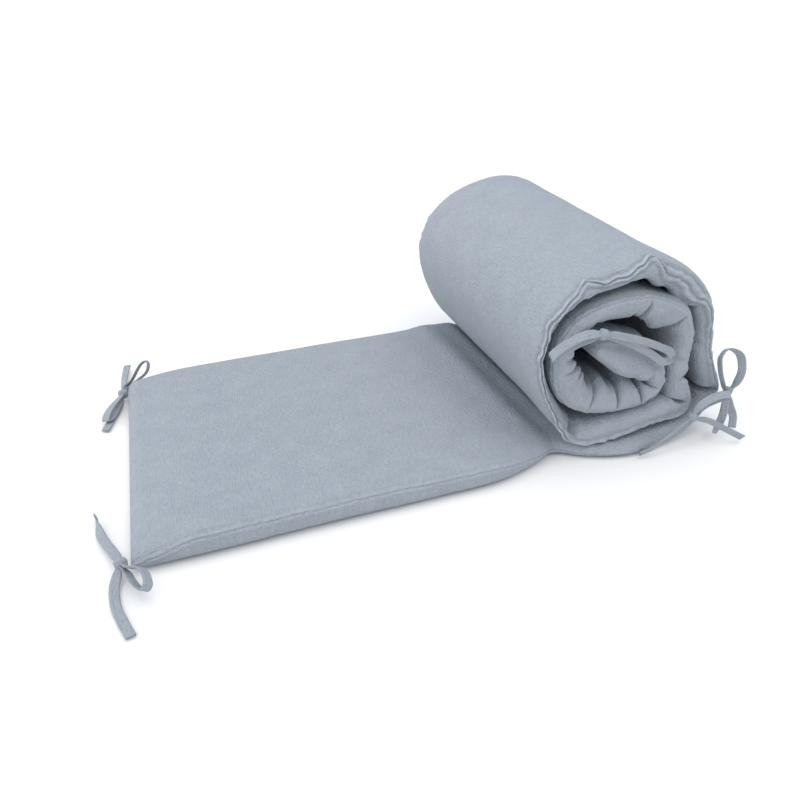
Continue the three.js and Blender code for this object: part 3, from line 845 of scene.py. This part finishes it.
def far_tie(row):
    """A plain bow's knot and straps, beside the far edge at this row."""
    length, y = length_at(row), far_edge(row)
    x, z = middle(length, y)
    nx, nz = inward(length, y)
    rise = -spline(NEAR_ROUTE["thick"], np.float64(row)) / 4
    at = (x + nx * rise, y + FAR_TIE_STANDOFF, z + nz * rise)
    straps = []
    for side in (-1, 1):
        for shape, across in ((FAR_LOOP, FAR_LOOP_ACROSS), (FAR_TAIL, FAR_TAIL_ACROSS)):
            path = [(at[0] + side * p, at[1], at[2] + q) for p, q in shape]
            straps.append((path, across))
    return at, straps


def centripetal(points, per_span):
    """Points along a centripetal Catmull-Rom curve, per_span to each span."""
    p = np.array(points, float)
    p = np.vstack([2 * p[0] - p[1], p, 2 * p[-1] - p[-2]])
    out = []
    for i in range(1, len(p) - 2):
        d0, d1, d2 = (np.linalg.norm(p[i + k] - p[i + k - 1]) ** 0.5 for k in (0, 1, 2))
        t1 = ((p[i] - p[i - 1]) / d0 - (p[i + 1] - p[i - 1]) / (d0 + d1) + (p[i + 1] - p[i]) / d1) * d1
        t2 = ((p[i + 1] - p[i]) / d1 - (p[i + 2] - p[i]) / (d1 + d2) + (p[i + 2] - p[i + 1]) / d2) * d1
        for t in np.arange(per_span) / per_span:
            out.append(
                p[i]
                + t1 * t
                + (3 * (p[i + 1] - p[i]) - 2 * t1 - t2) * t**2
                + (2 * (p[i] - p[i + 1]) + t1 + t2) * t**3
            )
    out.append(p[-2])
    return np.array(out)


def strap_mesh(path, across, width, thickness, tied_end):
    """Points, faces and cloth coordinates of one hemmed strap in millimetres, and its length."""
    line = centripetal(path, STRAP_SPAN_STEPS)
    steps = len(line) - 1
    spot = np.arange(steps + 1) / steps * (len(across) - 1)
    ways = np.array(across, float)
    ways /= np.linalg.norm(ways, axis=1, keepdims=True)
    wide = np.stack([np.interp(spot, np.arange(len(ways)), ways[:, k]) for k in range(3)], 1)
    along = np.gradient(line, axis=0)
    along /= np.linalg.norm(along, axis=1, keepdims=True)
    wide -= (wide * along).sum(1, keepdims=True) * along
    wide /= np.linalg.norm(wide, axis=1, keepdims=True)
    thick = np.cross(along, wide)
    run = np.concatenate([[0], np.cumsum(np.linalg.norm(np.diff(line, axis=0), axis=1))])
    length = run[-1]
    from_knot = np.minimum(run, length - run) if tied_end else run
    squeeze = SQUEEZE + SQUEEZE_RELEASE * smooth((from_knot - SQUEEZE_START) / SQUEEZE_RUN)
    edge = np.linspace(-1, 1, STRAP_POINTS)
    hem = 1 + STRAP_HEM * bump((np.abs(edge) - STRAP_HEM_AT) / STRAP_HEM_WIDTH)
    hem[[0, -1]] = STRAP_EDGE
    points, uvs = [], []
    for s in range(steps + 1):
        cup = STRAP_CUP_AT_KNOT * (1 - squeeze[s]) + STRAP_CUP
        for side in (1, -1):
            for w, h in zip(edge[::side], hem[::side]):
                offset = wide[s] * w * width / 2 * squeeze[s]
                lift = side * h * thickness / 2 + cup * (w * w - STRAP_CUP_LEVEL)
                points.append(line[s] + offset + thick[s] * lift)
                uvs.append((run[s], w * width / 2 + (0 if side > 0 else STRAP_BACK_OFFSET)))
    ring = 2 * len(edge)
    faces = []
    for s in range(steps):
        for k in range(ring):
            a, b = s * ring + k, s * ring + (k + 1) % ring
            faces.append((a, a + ring, b + ring, b))
    for start, flip in ((0, False), (steps * ring, True)):
        for k in range(len(edge) - 1):
            face = [start + k, start + k + 1, start + ring - 2 - k, start + ring - 1 - k]
            faces.append(face[::-1] if flip else face)
    return points, faces, uvs, length


def squared(value, power):
    """A sine or cosine, fuller than a circle's when the power is under 1."""
    return math.copysign(abs(value) ** power, value)


def bulge(away, wide, power):
    return math.exp(-(abs(away / wide) ** power))


def knot_mesh(centre, axis):
    """A small wrapped knot: a squarish lump with one band of cloth drawn tight round it."""
    rows, cols = KNOT_ROWS, KNOT_COLUMNS
    axis = Vector(axis).normalized()
    turn = axis.to_track_quat("Z", "Y").to_matrix()
    along_step, round_step = KNOT_CLOTH_STEPS
    points, uvs, faces = [], [], []
    for r in range(rows):
        a = math.pi * r / (rows - 1)
        for c in range(cols):
            b = 2 * math.pi * c / cols
            h = math.cos(a)
            groove = KNOT_GROOVE * bulge(abs(h) - KNOT_GROOVE_AT, KNOT_GROOVE_WIDTH, 2)
            band = 1 + KNOT_BAND * (bulge(h, KNOT_BAND_WIDTH, 4) - groove)
            band *= 1 + KNOT_RIPPLE * math.sin(3 * b + 4 * h)
            flat = [squared(v, KNOT_SQUARE) for v in (math.cos(b), math.sin(b))]
            round_size = squared(math.sin(a), KNOT_SQUARE) * band
            local = Vector((flat[0] * round_size, flat[1] * round_size, squared(h, KNOT_SQUARE)))
            local = turn @ local
            points.append([centre[k] + local[k] * KNOT_RADIUS[k] for k in range(3)])
            uvs.append((c * along_step, r * round_step))
    for r in range(rows - 1):
        for c in range(cols):
            a, b = r * cols + c, r * cols + (c + 1) % cols
            faces.append((a, a + cols, b + cols, b))
    return points, faces, uvs


def build_tie(name, knot, straps, shift, width, thickness):
    """One bow as a single object, and the length of all its strap in metres."""
    points, faces, uvs = [], [], []
    total = 0

    def add(part):
        base = len(points)
        points.extend(part[0])
        faces.extend([tuple(base + i for i in face) for face in part[1]])
        uvs.extend(part[2])

    for path, across in straps:
        first, last = np.array(path[0], float), np.array(path[-1], float)
        tied = np.linalg.norm(last - first) < LOOP_ENDS_WITHIN
        part = strap_mesh(path, across, width, thickness, tied)
        add(part)
        total += part[3]
    axis = np.array(straps[0][0][1], float) - np.array(knot, float)
    add(knot_mesh(knot, axis))
    placed = np.array(points) * MM + np.array(shift)
    cloth = np.array(uvs) * MM
    piece = mesh_object(name + "_bow", placed, faces, [cloth[list(face)] for face in faces])
    merge_doubles(piece)
    return piece, total * MM


def merge_doubles(piece):
    select_only(piece)
    bpy.ops.object.mode_set(mode="EDIT")
    bpy.ops.mesh.select_all(action="SELECT")
    bpy.ops.mesh.remove_doubles(threshold=MERGE_WITHIN)
    bpy.ops.mesh.normals_make_consistent(inside=False)
    bpy.ops.object.mode_set(mode="OBJECT")


def deselect_all():
    for other in bpy.context.selected_objects:
        other.select_set(False)


def select_only(piece):
    deselect_all()
    piece.select_set(True)
    bpy.context.view_layer.objects.active = piece


# ---- Materials ----


def linear(colour):
    """sRGB hex to linear RGB."""
    channels = [int(colour[k : k + 2], 16) / 255 for k in (1, 3, 5)]
    return [c / 12.92 if c <= 0.04045 else ((c + 0.055) / 1.055) ** 2.4 for c in channels]


def add_node(tree, kind, values=None, links=None, **settings):
    """A node with its settings, its inputs' values and its links from (node, output)."""
    node = tree.nodes.new(kind)
    for key, value in settings.items():
        setattr(node, key, value)
    for key, value in (values or {}).items():
        node.inputs[key].default_value = value
    for key, (source, output) in (links or {}).items():
        tree.links.new(source.outputs[output], node.inputs[key])
    return node


# The cloth's patterns: size along and across the strip in millimetres, detail, where each starts,
# and how much it adds to the height and to the shade. A thread is 0.3 mm thick, too fine to show,
# so the threads are drawn about twice as coarse.
WEAVE = [
    (5.0, 1.6, 0.5, (0, 0, 0), 1.1, 0.5),
    (1.4, 8.0, 0.5, (31, 17, 0), 0.9, 0.42),
    (0.7, 0.7, 0.0, (5, 9, 0), 0.15, 0.05),
    (26.0, 22.0, 1.0, (3, 2, 0), 0.0, 0.35),
]


def muslin_material(name, light, dark, crinkle):
    """Double-gauze cotton, woven and washed: matt, with fine crinkles in both directions, a few slubs and
    hardly any colour change. It is rough, with a faint fuzz that lightens its edges. Along the seams its
    colour carries painted light: lighter on the ridges as a painted highlight, darker in and beside the
    groove as painted shade."""
    material = bpy.data.materials.new(name)
    material.use_nodes = True
    tree = material.node_tree
    tree.nodes.clear()
    uv = add_node(tree, "ShaderNodeUVMap", uv_map="cloth")
    sums = {}
    for along, across, detail, start, *shares in WEAVE:
        place = add_node(
            tree,
            "ShaderNodeMapping",
            {"Scale": (1 / (along * MM), 1 / (across * MM), 1), "Location": start},
            {"Vector": (uv, "UV")},
        )
        cloud = add_node(
            tree,
            "ShaderNodeTexNoise",
            {"Scale": 1.0, "Detail": detail, "Roughness": 0.5},
            {"Vector": (place, "Vector")},
            noise_dimensions="2D",
        )
        for use, share in zip(("height", "shade"), shares):
            links = {0: (cloud, "Fac")}
            if use in sums:
                links[2] = (sums[use], "Value")
            values = {1: share, 2: 0.0}
            sums[use] = add_node(tree, "ShaderNodeMath", values, links, operation="MULTIPLY_ADD")
    crinkles = add_node(
        tree,
        "ShaderNodeBump",
        {"Strength": crinkle, "Distance": 2.2 * MM},
        {"Height": (sums["height"], "Value")},
    )
    ramp = add_node(
        tree,
        "ShaderNodeMapRange",
        {"From Min": 0.16, "From Max": 1.16},
        {"Value": (sums["shade"], "Value")},
    )
    tone = add_node(
        tree,
        "ShaderNodeMix",
        {6: (*dark, 1), 7: (*light, 1)},
        {0: (ramp, "Result")},
        data_type="RGBA",
    )
    # Painted light along the seams: the stored seam shading scales the cloth colour from 0.72 to 1.28.
    # This gives a painted highlight on the ridges and painted shade in and beside the groove.
    seam_shading = add_node(tree, "ShaderNodeAttribute", attribute_name="seam_shading")
    lift = add_node(
        tree,
        "ShaderNodeMapRange",
        {"From Min": -1, "From Max": 1, "To Min": 0.72, "To Max": 1.28},
        {"Value": (seam_shading, "Fac")},
    )
    painted_seam_light = add_node(
        tree,
        "ShaderNodeVectorMath",
        {},
        {0: (tone, 2), "Scale": (lift, "Result")},
        operation="SCALE",
    )
    shader = add_node(
        tree,
        "ShaderNodeBsdfPrincipled",
        {
            "Roughness": 0.92,
            "IOR": 1.45,
            "Specular IOR Level": 0.25,
            "Sheen Weight": 0.15,
            "Sheen Roughness": 0.5,
        },
        {"Normal": (crinkles, "Normal"), "Base Color": (painted_seam_light, "Vector")},
    )
    add_node(tree, "ShaderNodeOutputMaterial", {}, {"Surface": (shader, "BSDF")})
    return material


def floor_material(colour):
    """Uncoated white paper: matt, with no gloss or grain that shows, so shadows stay soft."""
    material = bpy.data.materials.new("white_paper_sweep")
    material.use_nodes = True
    shader = material.node_tree.nodes["Principled BSDF"]
    shader.inputs["Base Color"].default_value = (*colour, 1)
    shader.inputs["Roughness"].default_value = 0.9
    return material


# ---- The stage ----

# What the camera looks at and its distance are in the strip's own millimetres. Angles are radians.
CAMERA_TARGET = (269.3, 95.1, 50.0)
CAMERA_DISTANCE = 733.9
CAMERA_YAW = -0.39474
CAMERA_PITCH = 0.53167
CAMERA_ROLL = 0.01469
CAMERA_FOCAL_PIXELS = 740.09
IMAGE_PIXELS = 800
SENSOR_WIDTH = 36
CAMERA_CLIP = (0.02, 20)

# Soft lights: where each comes from, its width in degrees, its strength and its colour.
LIGHTS = {
    "overhead_key": ((0.0, -0.24, 1), 75, 1.77, (1, 0.945, 0.885)),
    "left_fill": ((-1, 0.0, 0.08), 80, 1.6, (1, 0.97, 0.95)),
}
AMBIENT_COLOUR = (0.87, 0.98, 1.14, 1)
AMBIENT_STRENGTH = 0.74
FLOOR_SIZE = 60
FLOOR_DROP = 0.3 * MM


def make_camera(shift):
    right = Vector((math.cos(CAMERA_YAW), math.sin(CAMERA_YAW), 0))
    ahead = Vector(
        (
            -math.sin(CAMERA_YAW) * math.cos(CAMERA_PITCH),
            math.cos(CAMERA_YAW) * math.cos(CAMERA_PITCH),
            -math.sin(CAMERA_PITCH),
        )
    )
    up = right.cross(ahead)
    c, s = math.cos(CAMERA_ROLL), math.sin(CAMERA_ROLL)
    right, up = c * right + s * up, c * up - s * right
    place = Vector(CAMERA_TARGET) * MM + shift - ahead * CAMERA_DISTANCE * MM
    data = bpy.data.cameras.new("camera")
    data.sensor_width = SENSOR_WIDTH
    data.lens = SENSOR_WIDTH * CAMERA_FOCAL_PIXELS / IMAGE_PIXELS
    data.clip_start, data.clip_end = CAMERA_CLIP
    camera = bpy.data.objects.new("camera", data)
    turn = Matrix((right, up, -ahead)).transposed()
    camera.matrix_world = Matrix.Translation(place) @ turn.to_4x4()
    bpy.context.scene.collection.objects.link(camera)
    bpy.context.scene.camera = camera


def soft_sun(name, direction, spread, strength, colour):
    """A broad soft light that shines from this direction, this many degrees across."""
    data = bpy.data.lights.new(name, "SUN")
    data.angle = math.radians(spread)
    data.energy = strength
    data.color = colour
    lamp = bpy.data.objects.new(name, data)
    lamp.rotation_mode = "QUATERNION"
    lamp.rotation_quaternion = Vector(direction).to_track_quat("Z", "Y")
    bpy.context.scene.collection.objects.link(lamp)


# ---- Settings, operators and panel ----


class BumperSettings(bpy.types.PropertyGroup):
    """Sizes and colours of the bumper."""

    cloth_light: FloatVectorProperty(
        name="Cloth, raised",
        description="Colour of the gauze where it stands up",
        subtype="COLOR",
        size=3,
        default=linear("#A4A9AE"),
        min=0,
        max=1,
    )
    cloth_dark: FloatVectorProperty(
        name="Cloth, sunk",
        description="Colour of the gauze between its threads",
        subtype="COLOR",
        size=3,
        default=linear("#899098"),
        min=0,
        max=1,
    )
    paper: FloatVectorProperty(
        name="Floor",
        description="Colour of the paper that the bumper lies on",
        subtype="COLOR",
        size=3,
        default=linear("#F1EFEC"),
        min=0,
        max=1,
    )
    strap_width: FloatProperty(
        name="Tie width",
        description="Width of the sewn ties",
        default=8 * MM,
        min=4 * MM,
        max=20 * MM,
        unit="LENGTH",
    )
    strap_thickness: FloatProperty(
        name="Tie thickness",
        description="Thickness of the folded ties",
        default=1.5 * MM,
        min=0.5 * MM,
        max=3 * MM,
        unit="LENGTH",
    )
    crinkle: FloatProperty(
        name="Crinkle",
        description="Strength of the gauze's fine crinkles",
        default=0.5,
        min=0,
        subtype="FACTOR",
        max=1,
    )


def muslin(settings):
    name = "double_gauze_muslin"
    colours = settings.cloth_light, settings.cloth_dark
    return bpy.data.materials.get(name) or muslin_material(name, *colours, settings.crinkle)


class BUMPER_OT_pad(bpy.types.Operator):
    """Builds the padded strip, flat at one end and rolled at the other"""

    bl_idname = "bumper.pad"
    bl_label = "Padded strip"

    def execute(self, context):
        settings = context.scene.bumper
        pad, shift = build_pad()
        settings["shift"] = list(shift)
        pad.data.materials.append(muslin(settings))
        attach(pad, "root")
        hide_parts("pad")
        return {"FINISHED"}


class BUMPER_OT_ties(bpy.types.Operator):
    """Builds the ties, each knotted in a bow on the strip's edge"""

    bl_idname = "bumper.ties"
    bl_label = "Ties"

    def execute(self, context):
        settings = context.scene.bumper
        shift = Vector(settings["shift"])
        ties = dict(TIES)
        ties.update({name: far_tie(row) for name, row in FAR_TIE_ROWS.items()})
        width, thickness = settings.strap_width / MM, settings.strap_thickness / MM
        for name, (knot, straps) in ties.items():
            bow, length = build_tie(name, knot, straps, shift, width, thickness)
            bow.data.materials.append(muslin(settings))
            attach(bow, "root")
            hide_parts(name)
        return {"FINISHED"}


class BUMPER_OT_stage(bpy.types.Operator):
    """Adds the camera, the floor and the studio lights"""

    bl_idname = "bumper.stage"
    bl_label = "Floor, lights and camera"

    def execute(self, context):
        deselect_all()
        make_camera(Vector(context.scene.bumper["shift"]))
        bpy.ops.mesh.primitive_plane_add(size=FLOOR_SIZE, location=(0, 0, -FLOOR_DROP))
        floor = context.object
        floor.name = "floor"
        floor.data.materials.append(floor_material(context.scene.bumper.paper))
        for name, light in LIGHTS.items():
            soft_sun(name, *light)
        world = bpy.data.worlds.new("studio")
        context.scene.world = world
        world.use_nodes = True
        backdrop = world.node_tree.nodes["Background"]
        backdrop.inputs["Color"].default_value = AMBIENT_COLOUR
        backdrop.inputs["Strength"].default_value = AMBIENT_STRENGTH
        context.scene.view_settings.view_transform = "Standard"
        return {"FINISHED"}


class BUMPER_PT_panel(bpy.types.Panel):
    """Lists the bumper's sizes and colours, and what builds it"""

    bl_idname = "BUMPER_PT_panel"
    bl_label = "Crib bumper"
    bl_space_type = "VIEW_3D"
    bl_region_type = "UI"
    bl_category = "Bumper"

    def draw(self, context):
        settings = context.scene.bumper
        for key in BumperSettings.__annotations__:
            self.layout.prop(settings, key)
        for operator in OPERATORS:
            self.layout.operator(operator.bl_idname)


OPERATORS = (BUMPER_OT_pad, BUMPER_OT_ties, BUMPER_OT_stage)
CLASSES = (BumperSettings, *OPERATORS, BUMPER_PT_panel)


def register():
    for cls in CLASSES:
        bpy.utils.register_class(cls)
    bpy.types.Scene.bumper = PointerProperty(type=BumperSettings)


def unregister():
    del bpy.types.Scene.bumper
    for cls in reversed(CLASSES):
        bpy.utils.unregister_class(cls)


def main():
    register()
    bpy.ops.bumper.pad()
    bpy.ops.bumper.ties()
    bpy.ops.bumper.stage()


if __name__ == "__main__":
    main()
